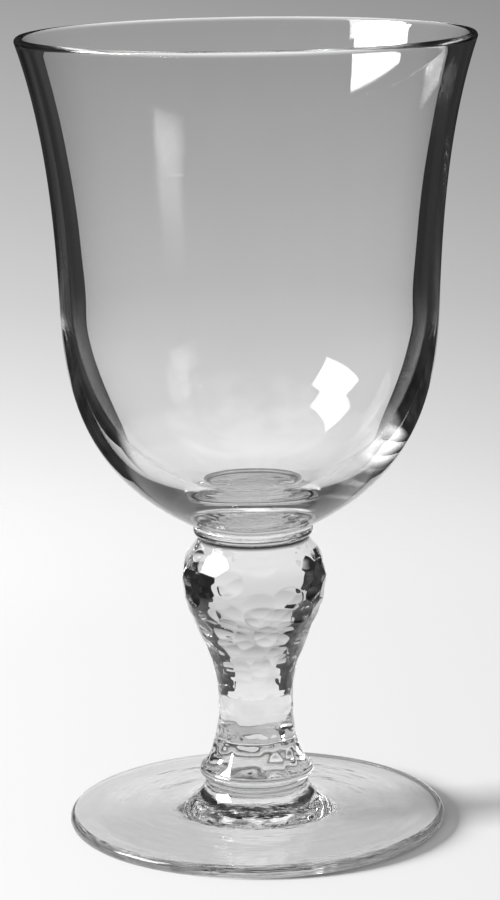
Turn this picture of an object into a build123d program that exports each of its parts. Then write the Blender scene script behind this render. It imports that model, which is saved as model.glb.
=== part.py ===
from build123d import *

import os
from math import cos, radians, sin

# Clear glass water goblet: bell bowl, hammered baluster stem and a round foot.
# Lengths are millimetres and angles degrees. The goblet stands on z = 0, its axis is Z.
# Five gathers of glass are stacked and fused face to face, from the table up:
# foot, foot collar, stem, bowl collar and bowl.

# Foot: a thin disc with a rounded edge, hollow underneath, flaring up into a hub
foot_radius = 41.0
foot_edge_thickness = 2.8
foot_rise = 0.6  # climb of the top face from its edge to the start of the flare
foot_hollow = 1.0  # height of the shallow dome under the foot
rest_ring_width = 5.0  # flat ring that touches the table
hub_radius = 11.0
hub_height = 10.3  # top of the hub above the table
hub_flare_radius = 19.5  # where the flare of the hub runs out into the top face
hub_roundness = 0.55  # share of each leg that the flare's curve handles take

# Collars: thin discs with a rounded rim between the stem and its neighbours
foot_collar_radius = 12.45
foot_collar_thickness = 2.1
bowl_collar_radius = 12.95
bowl_collar_thickness = 2.6
collar_rounding = 0.9  # how far the rim of a collar swells past its lower face
collar_shoulder = 0.3  # how far it swells past its upper face
collar_swell = 0.6  # height of its widest place, as a share of its thickness

# Stem: a solid baluster, slim low down and full near the top
stem_height = 51.5
stem_bottom_radius = 11.7
stem_waist_radius = 8.15
stem_waist_height = 15.3  # above the bottom of the stem
stem_belly_radius = 15.8
stem_belly_height = 42.2  # above the bottom of the stem
stem_top_radius = 11.5
stem_foot_slope = 64.0  # steepness of the flank where it leaves the bottom
stem_shoulder_slope = 53.0  # steepness of the shoulder where it reaches the top
# Handles of the flank's curves, each as a share of the climb of its own curve
stem_foot_reach = 0.3
stem_waist_reach_down = 0.55
stem_waist_reach_up = 0.4
stem_belly_reach_down = 0.28
stem_belly_reach_up = 0.55
stem_shoulder_reach = 0.43

# Hammered cells: a honeycomb of shallow dents that meet in ridges
cells_around = 16
cell_height = 4.2  # wanted distance between rows, measured along the flank
cell_depth = 0.42  # how far the middle of a cell on the belly lies under the turned flank
cell_zigzag = 1 / 6  # how far a ridge swings up and down, as a share of a row
cell_scatter = 0.5  # how far the corners stray, as a share of half a cell
# Strides of the scatter along the flank, round it and in depth: none fits the others
travel_stride = 0.754878
turn_stride = 0.618034
depth_stride = 0.569840
plain_band_low = 1.1  # smooth glass left at the bottom of the stem
plain_band_high = 2.0  # smooth glass left under the bowl collar

# Bowl: a bell, thick at the base, drawn in at the waist and flared at the rim
bowl_height = 105.0
bowl_base_slope = 26.5  # climb of the underside where it leaves the collar
bowl_waist_radius = 40.25
bowl_waist_height = 47.0  # above the bottom of the bowl
waist_lean = 2.1  # lean of the wall at the waist, away from upright
rim_radius = 48.4
rim_flare = 18.6  # lean of the wall at the rim, away from upright
rim_wall = 1.85
waist_wall = 2.5
bowl_base_thickness = 6.0  # solid glass on the axis
underside_reach = 0.9  # curve handle at the collar, as a share of the radius gained
belly_reach = 0.426  # curve handle below the waist, as a share of the waist's height
cavity_floor_reach = 0.70  # curve handle along the inside floor, as a share of the inside radius
cavity_belly_reach = 0.50  # curve handle below the waist, as a share of the inside's height
waist_reach = 0.26  # curve handle above the waist, as a share of the height to the rim
flare_reach = 0.35  # curve handle below the rim, as a share of the height to the rim

# Heights of the joints between the pieces
foot_collar_z = hub_height
stem_z = foot_collar_z + foot_collar_thickness
bowl_collar_z = stem_z + stem_height
bowl_z = bowl_collar_z + bowl_collar_thickness
bowl_seat_radius = bowl_collar_radius - collar_shoulder


def point(radius, height):
    """A point of a turned outline, in the plane through the axis."""
    return Vector(radius, 0, height)


def along(angle, length):
    """A step of this length in the outline's plane, angle counted from level."""
    return Vector(length * cos(radians(angle)), 0, length * sin(radians(angle)))


def turned(edges):
    """The solid swept by a closed outline around the axis of the goblet."""
    return revolve(Face(Wire(edges)), Axis.Z)


def make_foot():
    edge = foot_edge_thickness / 2
    centre = foot_radius - edge
    ring = centre - rest_ring_width
    flare_z = foot_edge_thickness + foot_rise
    flare_start = point(hub_flare_radius, flare_z)
    top_edge = point(centre, foot_edge_thickness)
    inward = (flare_start - top_edge).normalized()
    flare_end = point(hub_radius, hub_height)
    run = hub_roundness * (hub_flare_radius - hub_radius)
    climb = hub_roundness * (hub_height - flare_z)
    return turned([
        Line(point(ring, 0), point(centre, 0)),
        ThreePointArc(point(centre, 0), point(foot_radius, edge), top_edge),
        Line(top_edge, flare_start),
        Bezier(flare_start, flare_start + inward * run, flare_end - point(0, climb), flare_end),
        Line(flare_end, point(0, hub_height)),
        Line(point(0, hub_height), point(0, foot_hollow)),
        Bezier(point(0, foot_hollow), point(ring / 2, foot_hollow), point(ring, 0)),
    ])


def make_collar(radius, thickness, z):
    """A disc whose rim is one arc, swelling out past both flat faces."""
    low = point(radius - collar_rounding, z)
    widest = point(radius, z + collar_swell * thickness)
    high = point(radius - collar_shoulder, z + thickness)
    return turned([
        Line(point(0, z), low),
        ThreePointArc(low, widest, high),
        Line(high, point(0, z + thickness)),
        Line(point(0, z + thickness), point(0, z)),
    ])


def stem_flank():
    """Outline of the baluster before hammering, from the bottom up."""
    bottom = point(stem_bottom_radius, stem_z)
    waist = point(stem_waist_radius, stem_z + stem_waist_height)
    belly = point(stem_belly_radius, stem_z + stem_belly_height)
    top = point(stem_top_radius, stem_z + stem_height)
    low_climb = stem_waist_height
    mid_climb = stem_belly_height - stem_waist_height
    high_climb = stem_height - stem_belly_height
    return [
        Bezier(
            bottom,
            bottom + along(180 - stem_foot_slope, stem_foot_reach * low_climb),
            waist - point(0, stem_waist_reach_down * low_climb),
            waist,
        ),
        Bezier(
            waist,
            waist + point(0, stem_waist_reach_up * mid_climb),
            belly - point(0, stem_belly_reach_down * mid_climb),
            belly,
        ),
        Bezier(
            belly,
            belly + point(0, stem_belly_reach_up * high_climb),
            top - along(180 - stem_shoulder_slope, stem_shoulder_reach * high_climb),
            top,
        ),
    ]


def scatter(index, stride):
    """One of a steady stream of values, up to half a cell_scatter either way."""
    return cell_scatter * ((index * stride) % 1 - 0.5)


class HammeredStem:
    """The baluster, its flank covered by six-sided dents in staggered rows."""

    def __init__(self):
        self.flank = Wire(stem_flank())
        hammered = self.flank.length - plain_band_low - plain_band_high
        self.rows = round(hammered / cell_height)
        self.pitch = hammered / self.rows
        self.steps = 2 * cells_around

    def on_flank(self, travel, step, sunk=0):
        """The point this far along the flank, this many half cells round, sunk into the glass."""
        spot = self.flank.position_at(travel, PositionMode.LENGTH)
        upward = self.flank.tangent_at(travel, PositionMode.LENGTH)
        outward = Vector(upward.Z, 0, -upward.X)
        return (spot - outward * sunk).rotate(Axis.Z, 360 * step / self.steps)

    def corner(self, line, step):
        """A corner of the zigzag ridge under a row: down below its cells, up between them."""
        step %= self.steps
        seed = line * self.steps + step
        inner = 0 < line < self.rows
        zigzag = cell_zigzag * (1 if (step - line) % 2 else -1)
        stray = scatter(seed, travel_stride) / 2 * inner
        travel = plain_band_low + (line + zigzag + stray) * self.pitch
        return self.on_flank(travel, step + scatter(seed, turn_stride) * inner)

    def dent(self, row, step):
        """The sunken middle of a cell: shallower where the stem is slimmer, as drawn glass is."""
        travel = plain_band_low + (row + 0.5) * self.pitch
        slimness = self.on_flank(travel, 0).X / stem_belly_radius
        depth = cell_depth * slimness * (1 + scatter(row * self.steps + step, depth_stride))
        return self.on_flank(travel, step, depth)

    def cell(self, row, step):
        """Six facets from the corners of a cell to its sunken middle."""
        low = [self.corner(row, step + side) for side in (-1, 0, 1)]
        high = [self.corner(row + 1, step + side) for side in (1, 0, -1)]
        ring = low + high
        for start, end in zip(ring, ring[1:] + ring[:1]):
            yield facet(start, end, self.dent(row, step))

    def plain_band(self, edge, line):
        """Smooth facets between a round end of the stem and the nearest ridge."""
        for step in range(self.steps):
            near, far = self.on_flank(edge, step), self.on_flank(edge, step + 1)
            yield facet(near, far, self.corner(line, step))
            yield facet(far, self.corner(line, step + 1), self.corner(line, step))

    def solid(self):
        faces = []
        for row in range(self.rows):
            for step in range(row % 2, self.steps, 2):
                faces += self.cell(row, step)
        for edge, line in ((0, 0), (self.flank.length, self.rows)):
            faces += self.plain_band(edge, line)
            faces.append(facet(*[self.on_flank(edge, step) for step in range(self.steps)]))
        return Solid(Shell(faces))


def facet(*corners):
    """A flat face between these corners."""
    return Face(Wire.make_polygon(corners))


def make_bowl():
    lip = rim_wall / 2
    lip_centre = point(rim_radius - lip, bowl_z + bowl_height - lip)
    up_wall = along(90 - rim_flare, 1)
    across = along(-rim_flare, lip)
    rim_outside = lip_centre + across
    rim_inside = lip_centre - across
    waist_z = bowl_z + bowl_waist_height
    flare_climb = bowl_height - bowl_waist_height
    seat = point(bowl_seat_radius, bowl_z)
    waist = point(bowl_waist_radius, waist_z)
    underside = along(bowl_base_slope, underside_reach * (bowl_waist_radius - bowl_seat_radius))
    inside_waist = point(bowl_waist_radius - waist_wall, waist_z)
    floor = point(0, bowl_z + bowl_base_thickness)
    depth = bowl_waist_height - bowl_base_thickness
    up_waist = along(90 - waist_lean, 1)
    above_waist = up_waist * (waist_reach * flare_climb)
    below_waist = up_waist * (belly_reach * bowl_waist_height)
    inside_below_waist = up_waist * (cavity_belly_reach * depth)
    below_rim = up_wall * (flare_reach * flare_climb)
    return turned([
        Line(point(0, bowl_z), seat),
        Bezier(seat, seat + underside, waist - below_waist, waist),
        Bezier(waist, waist + above_waist, rim_outside - below_rim, rim_outside),
        ThreePointArc(rim_outside, lip_centre + up_wall * lip, rim_inside),
        Bezier(rim_inside, rim_inside - below_rim, inside_waist + above_waist, inside_waist),
        Bezier(
            inside_waist,
            inside_waist - inside_below_waist,
            floor + point(cavity_floor_reach * inside_waist.X, 0),
            floor,
        ),
        Line(floor, point(0, bowl_z)),
    ])


pieces = {
    "foot": make_foot(),
    "foot_collar": make_collar(foot_collar_radius, foot_collar_thickness, foot_collar_z),
    "stem": HammeredStem().solid(),
    "bowl_collar": make_collar(bowl_collar_radius, bowl_collar_thickness, bowl_collar_z),
    "bowl": make_bowl(),
}

os.makedirs("parts", exist_ok=True)
for name, shape in pieces.items():
    export_step(shape, f"parts/{name}.step")
    print(name, len(shape.solids()), "solid", round(shape.volume), "mm3")
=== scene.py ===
"""A clear glass water goblet on a pale table, seen a little from above.

The five gathers of glass are turned or hammered again here, finer than the CAD solids, from the
CAD outlines in the frame. Metres, degrees, +Z up; the goblet stands on z = 0 around the Z axis.
"""

from math import atan2, ceil, cos, degrees, dist, hypot, radians, sin

import bmesh
import bpy
import numpy as np
from bpy_extras.mesh_utils import mesh_linked_triangles
from mathutils import Euler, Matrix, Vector


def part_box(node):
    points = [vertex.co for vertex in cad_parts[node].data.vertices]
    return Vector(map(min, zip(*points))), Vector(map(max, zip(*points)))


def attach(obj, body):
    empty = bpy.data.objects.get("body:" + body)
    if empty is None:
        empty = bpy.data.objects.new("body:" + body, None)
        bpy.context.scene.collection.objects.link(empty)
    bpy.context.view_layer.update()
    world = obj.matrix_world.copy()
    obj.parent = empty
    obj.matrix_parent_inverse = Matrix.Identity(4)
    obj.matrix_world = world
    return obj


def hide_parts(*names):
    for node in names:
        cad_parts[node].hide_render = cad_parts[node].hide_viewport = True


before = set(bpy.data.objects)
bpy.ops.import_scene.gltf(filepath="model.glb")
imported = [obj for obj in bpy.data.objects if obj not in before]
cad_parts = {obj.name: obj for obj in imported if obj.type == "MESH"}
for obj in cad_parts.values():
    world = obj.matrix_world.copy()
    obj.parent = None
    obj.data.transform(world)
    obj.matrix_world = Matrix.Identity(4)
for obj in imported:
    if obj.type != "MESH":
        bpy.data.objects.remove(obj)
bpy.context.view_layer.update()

MM = 0.001
TINY = 0.001 * MM
POINT_DIGITS = 7  # decimals by which points of a CAD outline are told apart
LEVEL_DIGITS = 6  # the same for the heights of joints
LEVEL_SLACK = 10 * TINY  # how far off its height a vertex of a joint may be

# Meshes
SEGMENTS = 192  # round the axis
OUTLINE_STEP = 1.2 * MM  # longest step along an outline
OUTLINE_TURN = 5.0  # largest turn of an outline at one step
SHARP_ANGLE = 35.0  # edges that turn more stay sharp

# Hammered stem
STEM_SEGMENTS = 400
STEM_STEP = 0.22 * MM  # along the flank
FLANK_KNOTS = 26  # places where the CAD flank is measured
FLANK_WINDOW = 2.4 * MM  # height of flank used at each of them
ROW_GAP = 1.0 * MM  # dents this much higher belong to the next row
# Four places along the flank, with the depth of a dent there as a share of the CAD cell's
DENT_EASING = (5.0 * MM, 10.0 * MM, 19.0 * MM, 25.0 * MM)
DENT_SHARE = (2.4, 0.7, 0.6, 1.0)
RIDGE_SHARPNESS = (5 / MM, 12 / MM, 40 / MM, 70 / MM)  # higher leaves crisper ridges
DENT_STRAY = 0.3  # how far a dent strays, as a share of a row and of a cell
DENT_UNEVEN = 0.45  # how far its depth strays
DENT_SEED = 5

# Glass
GLASS_IOR = 1.5
# Light kept by clear glass where it is thick and where it is thin
THICK_TINT = (0.90, 0.90, 0.90)
THIN_TINT = (0.985, 0.985, 0.985)
THINNING = (0.080, 0.112)  # heights between which the bowl thins out
STEM_TINT = (0.84, 0.84, 0.84)
# Painted shade in the creases where two pieces meet: height, half width, light kept in the middle
PAINTED_CREASE_SHADES = (
    (10.3 * MM, 0.8 * MM, 0.03),
    (66.5 * MM, 0.4 * MM, 0.8),
)
BOWL_PAINTED_CREASE_SHADE = (63.7 * MM, 0.9 * MM, 0.03)  # the darkest painted crease shade, which has no gleam either: a black diffuse surface
# Black of the painted crease shade under the bowl
PAINTED_SHADE_BLACK = (0.01, 0.01, 0.01)
# Light kept inside the glass where two pieces are fused; the grey sheet at the bowl's joint is
# painted shade
JOINT_KEPT = 1.0
BOWL_JOINT_SHADE_KEPT = 0.7
# Faint waves all over the glass
WAVE_SCALE = 55.0
WAVE_DETAIL = 1.0
WAVE_STRENGTH = 0.06
WAVE_DEPTH = 0.6 * MM
# Tool marks on the foot: how fine they are across the turn and along it, the radii between which
# they fade, and what is left of them
MARKS_ACROSS = 0.28 / MM
MARKS_ALONG = 2.2
MARKS_DETAIL = 2.0
MARKS_REACH = (14.0 * MM, 30.0 * MM)
MARKS_REST = 0.8
MARKS_DEPTH = 0.14 * MM
# Painted shade on the foot: radii between which the glass of the foot grows darker to its edge, and
# the light kept there
FOOT_PAINTED_EDGE_SHADE = (40.1 * MM, 40.8 * MM)
PAINTED_EDGE_SHADE_KEPT = 0.5
# Light for the table that is let through: by a level surface and by an upright one
SHADOW = (0.97, 0.5)
# The same by the foot and by its edge, the radii between which the edge begins for the shadow, and
# the stretch from left to right in which the light turns from entering the foot to leaving it
FOOT_SHADOW = (0.95, 0.2)
SHADOW_EDGE = (38.6 * MM, 39.8 * MM)
LEAVING = (-20.0 * MM, 20.0 * MM)

# What a ray of light has met, counted and cut halfway between two counts
MIRRORED = 0.5  # reflections: at least one
MIRRORED_OFTEN = 2.5  # reflections: more than two
WALL_PASSED = 2.5  # refractions: more than one wall of glass

# Camera, solved from the ellipses of the rim and the foot
CAMERA_DISTANCE = 0.6632
CAMERA_SIDE = -0.00043
CAMERA_HEIGHT = 0.2215
CAMERA_PITCH = 11.837
CAMERA_ROLL = 0.883
LENS_MM = 126.36
SENSOR_MM = 36.0
CLIP_START = 0.01

# Table and lamp
TABLE_RADIUS = 0.60
TABLE_SEGMENTS = 96
TABLE_GAP = 0.05 * MM  # keeps the table's surface apart from the rest ring
TABLE_FADE = (0.14, 0.42)  # radii between which the table melts into the backdrop
TABLE_FADE_GLASS = (0.10, 0.13)  # the same, as the glass sees it
TABLE_WHITE = (0.88, 0.88, 0.88)
AMBIENT = 0.30
LAMP_POWER = 76.0
LAMP_SIZE = (0.55, 0.8)
LAMP_DISTANCE = 2.0
LAMP_AZIMUTH = -97.0  # clockwise from +Y, seen from above
LAMP_ELEVATION = 24.0

# Paper cards that curve up behind the goblet, one for each side it is looked at from
# Azimuth, distance from the axis, half width near the goblet and far from it, height of the top
CARDS = (
    (0.0, 0.20, 0.095, 0.098, 0.34),
    (-90.0, 0.50, 0.045, 0.16, 0.19),
    (135.0, 0.50, 0.045, 0.13, 0.08),
)
# Half width of the first card through the two walls of the bowl, and the height below which the
# solid stem sees no more of it either
BOWL_CARD = 0.078
CARD_WIDENS = 0.05
LEFT_LIGHT = 1.45  # how fast the backdrop brightens to the left
LEFT_LIGHT_LIMIT = 0.12
CARD_START = 0.10  # where a card begins on the table
CARD_BEND = 0.05  # radius of its curve
CARD_BEND_STEP = 10  # degrees
CARD_MIRRORED = (0.05, 0.09)  # heights between which the first card stops being mirrored
# Height and grey
CARD_GREYS = (
    (0.0, 0.98),
    (0.041, 0.79),
    (0.083, 0.58),
    (0.111, 0.485),
    (0.138, 0.41),
    (0.166, 0.33),
)

# The rest of the room, as the glass sees it
DARK_ROOM = (0.03, 0.014)  # on the left and on the right
ROOM_TURN = (-0.5, 0.3)  # where it turns from one to the other, as the sine of the azimuth
# Dim things in the room: a range of noise, and how much of the room's light is left at its ends
FURNITURE = (0.36, 0.66, 0.35, 2.4)
FURNITURE_SCALE = 3.5
FURNITURE_DETAIL = 2.0
WHITE_BELOW = (-21.0, -17.0)  # elevations where the dark room gives way to a white strip of table
STRIP_AZIMUTH = -45.0  # of the strip, which runs both ways
STRIP_HALF_WIDTH = 9.0
STRIP_BLUR = 2.0
CEILING = (37.0, 46.0)  # elevations where the dark room gives way to the ceiling
CEILING_GREY = 0.55
# How much softer a pane looks when it is mirrored more than twice, and the light left of it
MIRRORED_BLUR = 8.0
MIRRORED_LIGHT = 0.2
# Panes of the window and a white sheet in front: azimuth, half width, lowest and highest elevation,
# blur, brightness, and whether it is lost behind a second wall of the bowl
WINDOWS = (
    (-98.0, 17.0, 15.0, 28.0, 0.5, 22.0, True),
    (-98.0, 20.0, 24.5, 43.0, 0.5, 14.0, False),
    (-133.0, 7.0, -29.0, -19.5, 2.5, 1.7, False),
)

# Light that the rim catches runs down inside the wall, to and fro, to the base
BOUNCES = 128
CLEAR_BOUNCES = 64
BRIGHTEST_SAMPLE = 30.0  # high enough for a mirrored pane to stay white


def spline(points, count):
    """Evenly spread points of a cubic spline through the points, parabolic at its ends."""
    p = np.array(points)
    last = len(p) - 1
    if last == 1:
        return np.linspace(p[0], p[1], count)
    steps = np.linalg.norm(np.diff(p, axis=0), axis=1)
    along = np.concatenate(([0], np.cumsum(steps)))
    system = np.zeros((last + 1, last + 1))
    target = np.zeros_like(p)
    system[0, :2] = system[last, -2:] = 1, -1
    for i in range(1, last):
        system[i, i - 1 : i + 2] = steps[i - 1], 2 * (steps[i - 1] + steps[i]), steps[i]
        target[i] = 6 * ((p[i + 1] - p[i]) / steps[i] - (p[i] - p[i - 1]) / steps[i - 1])
    bend = np.linalg.solve(system, target)
    place = np.linspace(0, along[-1], count)
    i = np.clip(np.searchsorted(along, place, side="right") - 1, 0, last - 1)
    low = ((along[i + 1] - place) / steps[i])[:, None]
    high = 1 - low
    curve = (low**3 - low) * bend[i] + (high**3 - high) * bend[i + 1]
    return low * p[i] + high * p[i + 1] + curve * steps[i][:, None] ** 2 / 6


def seam_runs(node):
    """The outline of a turned CAD node: a run of (radius, height) for each of its curved faces."""
    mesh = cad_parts[node].data
    runs = []
    for island in mesh_linked_triangles(mesh):
        links = {}
        for triangle in island:
            for a, b in zip(triangle.vertices, (*triangle.vertices[1:], triangle.vertices[0])):
                ends = [mesh.vertices[i].co for i in (a, b)]
                if any(abs(c.y) > TINY or c.x < -TINY for c in ends):
                    continue
                keys = [(round(c.x, POINT_DIGITS), round(c.z, POINT_DIGITS)) for c in ends]
                links.setdefault(keys[0], set()).add(keys[1])
                links.setdefault(keys[1], set()).add(keys[0])
        tips = sorted(key for key, near in links.items() if len(near) == 1)
        if not tips:
            continue
        run = [tips[0]]
        while len(run) < len(links):
            run.append(next(key for key in links[run[-1]] if key not in run[-2:]))
        runs.append(run)
    return runs


def refined(run):
    """A run of the outline sampled finely enough to look round."""
    p = np.array(run)
    sides = np.diff(p, axis=0)
    turns = np.arctan2(sides[:, 1], sides[:, 0])
    turn = np.degrees(np.abs(np.diff(np.unwrap(turns)))).sum()
    length = np.linalg.norm(sides, axis=1).sum()
    count = max(ceil(length / OUTLINE_STEP), ceil(turn / OUTLINE_TURN), 1)
    return [tuple(point) for point in spline(run, count + 1)]


def outline(node, joints):
    """The closed outline of a turned CAD node, its flat faces split where another is fused on."""
    runs = [refined(run) for run in seam_runs(node)]
    path = min(runs, key=lambda run: min(run[0][1], run[-1][1]))
    runs.remove(path)
    if path[-1][1] < path[0][1]:
        path.reverse()
    while runs:
        ends = [(i, end) for i in range(len(runs)) for end in (0, -1)]
        index, end = min(ends, key=lambda e: dist(runs[e[0]][e[1]], path[-1]))
        run = runs.pop(index)
        if end == -1:
            run.reverse()
        path += bridge(path[-1], run[0], joints) + run
    path += bridge(path[-1], path[0], joints)
    return [p for p, q in zip(path, path[1:] + path[:1]) if dist(p, q) > TINY]


def bridge(start, end, joints):
    """The flat faces between two runs: straight across, or in to the axis and out again."""
    if abs(start[1] - end[1]) < TINY:
        return []
    axis = [(0.0, start[1]), (0.0, end[1])]
    return fused_edge(start, joints) + axis + fused_edge(end, joints)


def fused_edge(rim, joints):
    """The edge of a smaller fused disc on the flat face inside this point, if there is one."""
    radius = joints.get(round(rim[1], LEVEL_DIGITS), rim[0])
    return [(radius, rim[1])] if radius < rim[0] - TINY else []


def fused_joints():
    """Radius of the fused disc at each height where two pieces meet."""
    order = sorted(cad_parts, key=lambda node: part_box(node)[0].z)
    joints = {}
    for lower, upper in zip(order, order[1:]):
        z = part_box(upper)[0].z
        radii = []
        for node in (lower, upper):
            points = [v.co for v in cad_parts[node].data.vertices]
            radii.append(max(hypot(c.x, c.y) for c in points if abs(c.z - z) < LEVEL_SLACK))
        joints[round(z, LEVEL_DIGITS)] = min(radii)
    return joints


def turn(name, path, joints, glass, joint):
    """A lathe mesh of a closed outline. Faces inside a fused disc take the second material slot."""
    angles = np.linspace(0, 2 * np.pi, SEGMENTS, endpoint=False)
    verts, rings = [], []
    for r, z in path:
        count = 1 if r < TINY else SEGMENTS
        rings.append([len(verts) + i % count for i in range(SEGMENTS)])
        verts += [(r * np.cos(a), r * np.sin(a), z) for a in angles[:count]]
    faces, fused = [], []
    for k, (p, low) in enumerate(zip(path, rings)):
        following = (k + 1) % len(path)
        q, high = path[following], rings[following]
        if max(p[0], q[0]) < TINY:
            continue
        limit = joints.get(round(p[1], LEVEL_DIGITS), 0.0)
        inside = abs(p[1] - q[1]) < TINY and max(p[0], q[0]) < limit + TINY
        for i in range(SEGMENTS):
            j = (i + 1) % SEGMENTS
            face = dict.fromkeys((low[i], low[j], high[j], high[i]))
            faces.append(tuple(face))
            fused.append(inside)
    glass_piece(name, verts, faces, fused, glass, joint)


def glass_piece(name, verts, faces, fused, glass, joint):
    """A smooth closed mesh in clear glass, standing for the CAD node of the same name."""
    mesh = bpy.data.meshes.new(name + "_glass")
    mesh.from_pydata(verts, [], faces)
    mesh.materials.append(glass)
    mesh.materials.append(joint)
    mesh.polygons.foreach_set("material_index", [int(f) for f in fused])
    mesh.polygons.foreach_set("use_smooth", [True] * len(faces))
    edit = bmesh.new()
    edit.from_mesh(mesh)
    bmesh.ops.recalc_face_normals(edit, faces=edit.faces)
    edit.to_mesh(mesh)
    edit.free()
    mesh.set_sharp_from_angle(angle=radians(SHARP_ANGLE))
    piece = bpy.data.objects.new(name + "_glass", mesh)
    bpy.context.scene.collection.objects.link(piece)
    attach(piece, "root")
    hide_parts(name)


def stem_dents():
    """The CAD stem taken apart: points of its flank as (z, r), and the middles of its dents."""
    edit = bmesh.new()
    edit.from_mesh(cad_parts["stem"].data)
    bmesh.ops.remove_doubles(edit, verts=edit.verts, dist=TINY)
    bmesh.ops.recalc_face_normals(edit, faces=edit.faces)
    edit.normal_update()
    low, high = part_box("stem")
    flank, dents = [], []
    for v in edit.verts:
        near = [e.other_vert(v).co for e in v.link_edges]
        mean = sum(near, Vector()) / len(near)
        inner = low.z + TINY < v.co.z < high.z - TINY
        if inner and (mean - v.co).dot(v.normal) > 0:
            dents.append(v.co.copy())
        else:
            flank.append((v.co.z, hypot(v.co.x, v.co.y)))
    edit.free()
    return np.array(flank), dents


def flank_curve(flank):
    """The turned flank as evenly spread (radius, height) points."""
    low, high = flank[:, 0].min(), flank[:, 0].max()
    knots = []
    for z in np.linspace(low, high, FLANK_KNOTS):
        near = flank[np.abs(flank[:, 0] - z) < FLANK_WINDOW]
        fit = np.polyfit(near[:, 0] - z, near[:, 1], 2)
        knots.append((fit[-1], z))
    for end, z in ((0, low), (-1, high)):
        knots[end] = (flank[np.abs(flank[:, 0] - z) < TINY, 1].max(), z)
    length = np.linalg.norm(np.diff(knots, axis=0), axis=1).sum()
    return spline(knots, ceil(length / STEM_STEP) + 1)


def hammer(name):
    """The hammered stem: its flank scooped out by one shallow dent per CAD cell."""
    flank, dents = stem_dents()
    curve = flank_curve(flank)
    steps = np.linalg.norm(np.diff(curve, axis=0), axis=1)
    travel = np.concatenate(([0], np.cumsum(steps)))
    slope = np.gradient(curve, travel, axis=0)
    outward = np.column_stack((slope[:, 1], -slope[:, 0]))
    levels = np.sort([middle.z for middle in dents])
    rows = 1 + np.count_nonzero(np.diff(levels) > ROW_GAP)
    around = len(dents) // rows
    pitch = travel[-1] / (rows + 1)
    angles = np.linspace(0, 2 * np.pi, STEM_SEGMENTS, endpoint=False)
    weight = np.ones((len(curve), STEM_SEGMENTS))
    crispness = np.interp(travel, DENT_EASING, RIDGE_SHARPNESS)[:, None]
    chance = np.random.default_rng(DENT_SEED)
    cell = 2 * np.pi / around
    for middle in sorted(dents, key=lambda c: (round(degrees(atan2(c.y, c.x))) % 360, c.z)):
        stray_up, stray_round, uneven = chance.uniform(-1, 1, 3)
        spot = np.array((hypot(middle.x, middle.y), middle.z))
        nearest = np.argmin(np.linalg.norm(curve - spot, axis=1))
        share = np.interp(travel[nearest], DENT_EASING, DENT_SHARE)
        depth = -share * (1 + DENT_UNEVEN * uneven) * (spot - curve[nearest]) @ outward[nearest]
        home = travel[nearest] + DENT_STRAY * stray_up * pitch
        bearing = atan2(middle.y, middle.x) + DENT_STRAY * stray_round * cell
        turn_by = (angles - bearing + np.pi) % (2 * np.pi) - np.pi
        # Both ways in units of a honeycomb cell from its middle to a corner
        across = turn_by[None, :] / (cell / 3**0.5)
        up = ((travel - home) / (2 / 3 * pitch))[:, None]
        weight += np.exp(crispness * depth * (1 - across**2 - up**2))
    sunk = np.log(weight) / crispness
    sunk -= sunk.min(axis=1, keepdims=True)
    sunk[0] = sunk[-1] = 0
    radius = curve[:, :1] - outward[:, :1] * sunk
    height = np.clip(curve[:, 1:] - outward[:, 1:] * sunk, curve[0, 1], curve[-1, 1])
    verts = np.dstack((radius * np.cos(angles), radius * np.sin(angles), height)).reshape(-1, 3)
    faces = []
    for k in range(len(curve) - 1):
        for i in range(STEM_SEGMENTS):
            j = (i + 1) % STEM_SEGMENTS
            row = k * STEM_SEGMENTS
            faces.append((row + i, row + j, row + STEM_SEGMENTS + j, row + STEM_SEGMENTS + i))
    fused = [False] * len(faces)
    top = (len(curve) - 1) * STEM_SEGMENTS
    faces += [tuple(range(STEM_SEGMENTS)), tuple(range(top, top + STEM_SEGMENTS))]
    fused += [True, True]
    glass_piece(name, verts.tolist(), faces, fused, STEM_GLASS, JOINT)


class Nodes:
    """A short way to write a node tree."""

    def __init__(self, owner):
        owner.use_nodes = True
        self.tree = owner.node_tree
        self.tree.nodes.clear()

    def add(self, kind, inputs=None, **settings):
        """A node of this kind, with links or constants on its inputs."""
        node = self.tree.nodes.new(kind)
        for key, value in settings.items():
            setattr(node, key, value)
        for key, value in (inputs or {}).items():
            if isinstance(value, bpy.types.NodeSocket):
                self.tree.links.new(value, node.inputs[key])
            else:
                node.inputs[key].default_value = value
        return node

    def math(self, operation, *values, clamp=False):
        """One step of arithmetic on values, linked or constant."""
        inputs = dict(enumerate(values))
        node = self.add("ShaderNodeMath", inputs, operation=operation, use_clamp=clamp)
        return node.outputs[0]

    def scale(self, colour, factor):
        """A colour times a factor."""
        inputs = {0: colour, "Scale": factor}
        return self.add("ShaderNodeVectorMath", inputs, operation="SCALE").outputs[0]

    def noise(self, place, scale, detail):
        """Smooth noise between 0 and 1."""
        inputs = {"Vector": place, "Scale": scale, "Detail": detail}
        return self.add("ShaderNodeTexNoise", inputs).outputs["Fac"]

    def mix(self, share, first, second):
        """The first shader, or the second by its share."""
        return self.add("ShaderNodeMixShader", {0: share, 1: first, 2: second}).outputs[0]

    def ramp(self, value, low, high, out_low, out_high):
        """A smooth step of value between low and high."""
        ends = {1: low, 2: high, 3: out_low, 4: out_high, 0: value}
        return self.add("ShaderNodeMapRange", ends, interpolation_type="SMOOTHSTEP").outputs[0]

    def edge(self, beyond, blur):
        """One inside an edge and nothing beyond it, over a blur either way."""
        return self.ramp(self.math("DIVIDE", beyond, blur), -1.0, 1.0, 1.0, 0.0)


def off_axis(n, parts):
    """Distance from the axis of the goblet."""
    level = n.add("ShaderNodeCombineXYZ", {0: parts["X"], 1: parts["Y"]}).outputs[0]
    return n.add("ShaderNodeVectorMath", {0: level}, operation="LENGTH").outputs["Value"]


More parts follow.
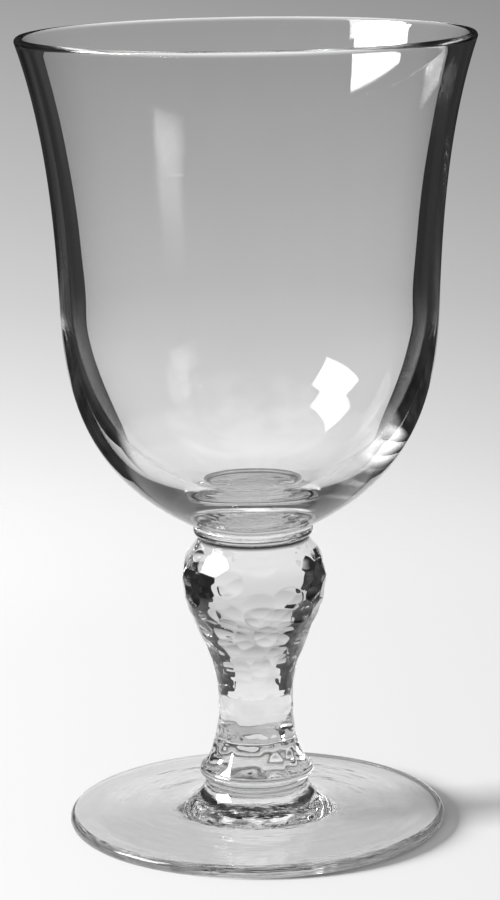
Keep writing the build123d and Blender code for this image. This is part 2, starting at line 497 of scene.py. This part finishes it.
def tool_marks(n, parts):
    """Rings left by the tool that opened the foot, drawn out along the turn."""
    reach = off_axis(n, parts)
    turned = n.math("ARCTAN2", parts["X"], parts["Y"])
    spot = n.add(
        "ShaderNodeCombineXYZ",
        {
            0: n.math("MULTIPLY", reach, MARKS_ACROSS),
            1: n.math("MULTIPLY", n.math("SINE", turned), MARKS_ALONG),
            2: n.math("MULTIPLY", n.math("COSINE", turned), MARKS_ALONG),
        },
    ).outputs[0]
    marks = n.noise(spot, 1.0, MARKS_DETAIL)
    return n.math("MULTIPLY", marks, n.ramp(reach, *MARKS_REACH, 1.0, MARKS_REST))


def painted_crease_shade(n, height, middle, width, kept):
    """Painted crease shade: light kept by the glass around a crease at this height."""
    away = n.math("ABSOLUTE", n.math("SUBTRACT", height, middle))
    return n.ramp(away, 0.0, width, kept, 1.0)


def clear_glass(name, tint, thin=None, tooled_edge_shaded=False):
    """Clear glass with a faint waviness, with painted shade in its creases and, on the foot, at its
    edge. Light for the table passes straight through it.
    """
    material = bpy.data.materials.new(name)
    n = Nodes(material)
    place = n.add("ShaderNodeTexCoord").outputs["Object"]
    parts = n.add("ShaderNodeSeparateXYZ", {0: place}).outputs
    wave = n.noise(place, WAVE_SCALE, WAVE_DETAIL)
    relief = {"Height": wave, "Strength": WAVE_STRENGTH, "Distance": WAVE_DEPTH}
    bump = n.add("ShaderNodeBump", relief).outputs[0]
    if tooled_edge_shaded:
        marks = tool_marks(n, parts)
        relief = {"Height": marks, "Strength": 1.0, "Distance": MARKS_DEPTH, "Normal": bump}
        bump = n.add("ShaderNodeBump", relief).outputs[0]
    colour = tint
    if thin:
        thinness = n.ramp(parts["Z"], *THINNING, 0.0, 1.0)
        ends = {0: thinness, 6: (*tint, 1), 7: (*thin, 1)}
        colour = n.add("ShaderNodeMix", ends, data_type="RGBA").outputs[2]
    # Painted shade: the foot's glass colour darkens towards its edge
    painted_shades = [n.ramp(off_axis(n, parts), *FOOT_PAINTED_EDGE_SHADE, 1.0, PAINTED_EDGE_SHADE_KEPT)] if tooled_edge_shaded else []
    # Painted shade: the glass colour darkens in the creases between pieces
    painted_shades += [painted_crease_shade(n, parts["Z"], *crease) for crease in PAINTED_CREASE_SHADES]
    for painted_shade in painted_shades:
        colour = n.scale(colour, painted_shade)
    body = n.add(
        "ShaderNodeBsdfPrincipled",
        {
            "Base Color": colour,
            "Transmission Weight": 1.0,
            "Roughness": 0.0,
            "IOR": GLASS_IOR,
            "Normal": bump,
        },
    ).outputs[0]
    # Painted shade: a black diffuse surface mixed into the crease under the bowl
    painted_black = n.add("ShaderNodeBsdfDiffuse", {"Color": (*PAINTED_SHADE_BLACK, 1)}).outputs[0]
    body = n.mix(painted_crease_shade(n, parts["Z"], *BOWL_PAINTED_CREASE_SHADE), painted_black, body)
    normal = n.add("ShaderNodeNewGeometry").outputs["Normal"]
    lean = n.add("ShaderNodeSeparateXYZ", {0: normal}).outputs["Z"]
    level, upright = SHADOW
    shade = n.math("MULTIPLY_ADD", n.math("ABSOLUTE", lean), level - upright, upright)
    if tooled_edge_shaded:
        leaving = n.ramp(parts["X"], *LEAVING, 0.0, 1.0)
        edge = n.math("MULTIPLY", leaving, n.ramp(off_axis(n, parts), *SHADOW_EDGE, 0.0, 1.0))
        shade = n.ramp(edge, 0.0, 1.0, *FOOT_SHADOW)
    through = n.add("ShaderNodeBsdfTransparent", {"Color": shade}).outputs[0]
    path = n.add("ShaderNodeLightPath").outputs
    lighting = n.math("MAXIMUM", path["Is Shadow Ray"], path["Is Diffuse Ray"])
    n.add("ShaderNodeOutputMaterial", {"Surface": n.mix(lighting, body, through)})
    return material


def fused_joint(name, kept):
    """The inside of the glass where two gathers were fused hot, a sheet that keeps this share of
    light; kept below one, it is painted shade.
    """
    material = bpy.data.materials.new(name)
    n = Nodes(material)
    clear = n.add("ShaderNodeBsdfTransparent", {"Color": (kept, kept, kept, 1)}).outputs[0]
    n.add("ShaderNodeOutputMaterial", {"Surface": clear})
    return material


def table():
    """A round pale table top that melts into the backdrop."""
    edit = bmesh.new()
    bmesh.ops.create_circle(edit, cap_ends=True, segments=TABLE_SEGMENTS, radius=TABLE_RADIUS)
    mesh = bpy.data.meshes.new("table")
    edit.to_mesh(mesh)
    edit.free()
    material = bpy.data.materials.new("table_paper")
    n = Nodes(material)
    place = n.add("ShaderNodeTexCoord").outputs["Object"]
    reach = n.add("ShaderNodeVectorMath", {0: place}, operation="LENGTH").outputs["Value"]
    path = n.add("ShaderNodeLightPath").outputs
    glass = n.math("MAXIMUM", path["Is Glossy Ray"], path["Is Transmission Ray"])
    fades = [n.ramp(reach, *radii, 0.0, 1.0) for radii in (TABLE_FADE, TABLE_FADE_GLASS)]
    fade = n.add("ShaderNodeMix", {0: glass, 2: fades[0], 3: fades[1]}).outputs[0]
    paper = n.add("ShaderNodeBsdfDiffuse", {"Color": (*TABLE_WHITE, 1)}).outputs[0]
    clear = n.add("ShaderNodeBsdfTransparent").outputs[0]
    n.add("ShaderNodeOutputMaterial", {"Surface": n.mix(fade, paper, clear)})
    mesh.materials.append(material)
    top = bpy.data.objects.new("table", mesh)
    top.location.z = -TABLE_GAP
    bpy.context.scene.collection.objects.link(top)


def grey_ramp(n, value, stops):
    """Grey levels by a value, from a list of (value, grey) in rising order."""
    low, high = stops[0][0], stops[-1][0]
    ends = {"Value": value, "From Min": low, "From Max": high}
    share = n.add("ShaderNodeMapRange", ends).outputs[0]
    ramp = n.add("ShaderNodeValToRGB", {"Fac": share})
    elements = ramp.color_ramp.elements
    while len(elements) < len(stops):
        elements.new(1.0)
    for element, (place, grey) in zip(elements, stops):
        element.position = (place - low) / (high - low)
        element.color = (grey, grey, grey, 1)
    return ramp.outputs["Color"]


def card_paper(name, plain):
    """Paper that glows in the greys of the backdrop. The plain kind is never mirrored.

    The other kind is the first card's: only its upper part isn't mirrored, and its sides are left
    out where BOWL_CARD says so.
    """
    material = bpy.data.materials.new(name)
    n = Nodes(material)
    place = n.add("ShaderNodeTexCoord").outputs["Object"]
    parts = n.add("ShaderNodeSeparateXYZ", {0: place}).outputs
    height = parts["Z"]
    paper = n.add("ShaderNodeEmission", {"Color": grey_ramp(n, height, CARD_GREYS)}).outputs[0]
    clear = n.add("ShaderNodeBsdfTransparent").outputs[0]
    back = n.add("ShaderNodeNewGeometry").outputs["Backfacing"]
    path = n.add("ShaderNodeLightPath").outputs
    hidden = path["Glossy Depth"]
    if not plain:
        upper = n.ramp(height, *CARD_MIRRORED, 0.0, 1.0)
        hidden = n.math("MULTIPLY", n.math("MINIMUM", hidden, 1.0), upper)
        aside = n.math("GREATER_THAN", n.math("ABSOLUTE", parts["X"]), BOWL_CARD)
        walls = n.math("GREATER_THAN", path["Transmission Depth"], WALL_PASSED)
        narrow = n.math("MAXIMUM", walls, n.math("LESS_THAN", height, CARD_WIDENS))
        hidden = n.math("MAXIMUM", hidden, n.math("MULTIPLY", aside, narrow))
    hidden = n.math("ADD", back, hidden, clamp=True)
    n.add("ShaderNodeOutputMaterial", {"Surface": n.mix(hidden, paper, clear)})
    return material


def cards():
    """The paper cards behind the goblet. They are there for the glass alone."""
    first_paper = card_paper("card_paper", False)
    side_paper = card_paper("side_card_paper", True)
    bend = [radians(a) for a in range(0, 90 + CARD_BEND_STEP, CARD_BEND_STEP)]
    for azimuth, distance, near_width, far_width, top in CARDS:
        profile = [(CARD_START, 0.0)]
        profile += [
            (distance - CARD_BEND * (1 - sin(a)), CARD_BEND * (1 - cos(a))) for a in bend
        ]
        profile += [(distance, top)]
        ends, half_widths = (CARD_START, distance), (near_width, far_width)
        widths = np.interp([y for y, _ in profile], ends, half_widths)
        verts = [(x, y, z) for (y, z), w in zip(profile, widths) for x in (-w, w)]
        faces = [(i, i + 1, i + 3, i + 2) for i in range(0, len(verts) - 2, 2)]
        mesh = bpy.data.meshes.new("card")
        mesh.from_pydata(verts, [], faces)
        mesh.materials.append(first_paper if azimuth == 0 else side_paper)
        card = bpy.data.objects.new("card", mesh)
        card.rotation_euler.z = radians(-azimuth)
        card.visible_camera = card.visible_diffuse = card.visible_shadow = False
        bpy.context.scene.collection.objects.link(card)


def backdrop():
    """The room: pale for the eye, dark with a window for the glass, plain light for the rest."""
    world = bpy.data.worlds.new("backdrop")
    bpy.context.scene.world = world
    n = Nodes(world)
    way = n.add("ShaderNodeTexCoord").outputs["Generated"]
    parts = n.add("ShaderNodeSeparateXYZ", {0: way}).outputs
    climb = n.math("DEGREES", n.math("ARCSINE", parts["Z"]))
    bearing = n.math("DEGREES", n.math("ARCTAN2", parts["X"], parts["Y"]))

    _, behind, *_ = CARDS[0]
    reach = CAMERA_DISTANCE + behind
    seen = [(degrees(atan2(z - CAMERA_HEIGHT, reach)), grey) for z, grey in CARD_GREYS]
    tilt = n.math("MULTIPLY_ADD", parts["X"], -LEFT_LIGHT, 1.0)
    tilt = n.math("MINIMUM", n.math("MAXIMUM", tilt, 1 - LEFT_LIGHT_LIMIT), 1 + LEFT_LIGHT_LIMIT)
    pale = n.scale(grey_ramp(n, climb, seen), tilt)

    _, white = CARD_GREYS[0]
    strip = n.math("WRAP", n.math("SUBTRACT", bearing, STRIP_AZIMUTH), 90.0, -90.0)
    edges = (STRIP_HALF_WIDTH - STRIP_BLUR, STRIP_HALF_WIDTH + STRIP_BLUR)
    strip = n.ramp(n.math("ABSOLUTE", strip), *edges, white, 0.0)
    path = n.add("ShaderNodeLightPath").outputs
    low = n.math("MULTIPLY", strip, n.ramp(climb, *WHITE_BELOW, 1.0, 0.0))
    low = n.math("MULTIPLY", low, n.math("LESS_THAN", path["Glossy Depth"], MIRRORED))
    dark = n.ramp(parts["X"], *ROOM_TURN, *DARK_ROOM)
    high = n.ramp(climb, *CEILING, dark, CEILING_GREY)
    things = n.noise(way, FURNITURE_SCALE, FURNITURE_DETAIL)
    high = n.math("MULTIPLY", high, n.ramp(things, *FURNITURE))
    room = n.math("MAXIMUM", low, high)
    often = n.math("GREATER_THAN", path["Glossy Depth"], MIRRORED_OFTEN)
    near = n.math("LESS_THAN", path["Transmission Depth"], WALL_PASSED)
    near = n.math("MAXIMUM", often, near)
    for azimuth, width, bottom, top, blur, brightness, lost in WINDOWS:
        blur = n.math("MULTIPLY_ADD", often, MIRRORED_BLUR, blur)
        dimming = (MIRRORED_LIGHT - 1) * brightness
        brightness = n.math("MULTIPLY_ADD", often, dimming, brightness)
        turned = n.math("WRAP", n.math("SUBTRACT", bearing, azimuth), 180.0, -180.0)
        aside = n.math("SUBTRACT", n.math("ABSOLUTE", turned), width)
        pane = n.math("MULTIPLY", n.edge(aside, blur), brightness)
        if lost:
            pane = n.math("MULTIPLY", pane, near)
        pane = n.math("MULTIPLY", pane, n.edge(n.math("SUBTRACT", bottom, climb), blur))
        pane = n.math("MULTIPLY", pane, n.edge(n.math("SUBTRACT", climb, top), blur))
        room = n.math("ADD", room, pane)

    glass = n.math("MAXIMUM", path["Is Glossy Ray"], path["Is Transmission Ray"])
    plain = n.add("ShaderNodeBackground", {"Strength": AMBIENT, "Color": (1, 1, 1, 1)}).outputs[0]
    eye = n.add("ShaderNodeBackground", {"Color": pale}).outputs[0]
    around = n.add("ShaderNodeBackground", {"Color": room}).outputs[0]
    mixed = n.mix(path["Is Camera Ray"], n.mix(glass, plain, around), eye)
    n.add("ShaderNodeOutputWorld", {"Surface": mixed})


def lamp():
    """One soft lamp on the left."""
    light = bpy.data.lights.new("softbox", "AREA")
    light.shape = "RECTANGLE"
    light.size, light.size_y = LAMP_SIZE
    light.energy = LAMP_POWER
    box = bpy.data.objects.new("softbox", light)
    turned = Euler((radians(LAMP_ELEVATION), 0, radians(-LAMP_AZIMUTH))).to_matrix()
    way = turned @ Vector((0, 1, 0))
    box.location = way * LAMP_DISTANCE
    box.rotation_euler = way.to_track_quat("Z", "Y").to_euler()
    box.visible_glossy = False
    box.visible_transmission = False
    bpy.context.scene.collection.objects.link(box)


def camera():
    """The photo's camera."""
    lens = bpy.data.cameras.new("camera")
    lens.lens = LENS_MM
    lens.sensor_width = SENSOR_MM
    lens.clip_start = CLIP_START
    eye = bpy.data.objects.new("camera", lens)
    eye.location = (CAMERA_SIDE, -CAMERA_DISTANCE, CAMERA_HEIGHT)
    tilt = Euler((radians(90 - CAMERA_PITCH), 0, 0)).to_matrix()
    roll = Euler((0, 0, radians(-CAMERA_ROLL))).to_matrix()
    eye.rotation_euler = (tilt @ roll).to_euler()
    bpy.context.scene.collection.objects.link(eye)
    bpy.context.scene.camera = eye


def settings():
    """How colours are shown, and how far light is followed through the glass."""
    scene = bpy.context.scene
    scene.view_settings.view_transform = "Standard"
    scene.cycles.max_bounces = BOUNCES
    scene.cycles.transmission_bounces = BOUNCES
    scene.cycles.glossy_bounces = BOUNCES
    scene.cycles.transparent_max_bounces = CLEAR_BOUNCES
    scene.cycles.sample_clamp_indirect = BRIGHTEST_SAMPLE
    scene.cycles.caustics_reflective = False
    scene.cycles.caustics_refractive = False


GLASS = clear_glass("clear_glass", THICK_TINT, THIN_TINT)
STEM_GLASS = clear_glass("thick_glass", STEM_TINT)
FOOT_GLASS = clear_glass("tooled_edge_shaded_glass", THICK_TINT, tooled_edge_shaded=True)
JOINT = fused_joint("fused_joint", JOINT_KEPT)
# The bowl's joint keeps less light: painted shade on the base seen through the bowl
BOWL_JOINT_SHADE = fused_joint("bowl_joint_painted_shade", BOWL_JOINT_SHADE_KEPT)
joints = fused_joints()
for part in ("foot", "foot_collar", "bowl_collar", "bowl"):
    glass = FOOT_GLASS if part == "foot" else GLASS
    joint = BOWL_JOINT_SHADE if part == "bowl" else JOINT
    turn(part, outline(part, joints), joints, glass, joint)
hammer("stem")
table()
cards()
backdrop()
lamp()
camera()
settings()
